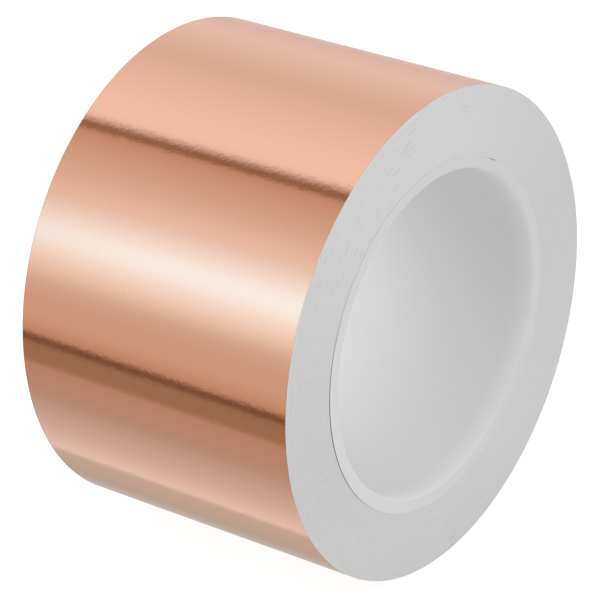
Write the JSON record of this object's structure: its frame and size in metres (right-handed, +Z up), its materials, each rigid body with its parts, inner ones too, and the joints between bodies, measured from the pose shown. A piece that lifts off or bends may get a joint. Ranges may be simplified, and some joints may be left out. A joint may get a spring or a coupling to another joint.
{
  "type": "roll of copper foil tape",
  "caption": "Roll of self-adhesive copper foil tape on a white plastic core ring, wound foil side out in one continuous strip.",
  "frame": {"origin": "on the floor below the middle of the roll, which lies on its tread", "axes": "+X along the roll's axis, out of the end that the picture shows; +Z up"},
  "size_m": [0.05, 0.0783, 0.0783],
  "materials": {
    "core_plastic": "white moulded plastic, satin, with rounded lips",
    "copper_foil": "bright rolled copper foil, lightly rippled over the turns below",
    "liner_edges": "slit edges of white release liner, fine turn lines"
  },
  "bodies": {
    "root": {"core": "core_plastic", "wound_tape": "copper_foil"}
  },
  "joints": []
}
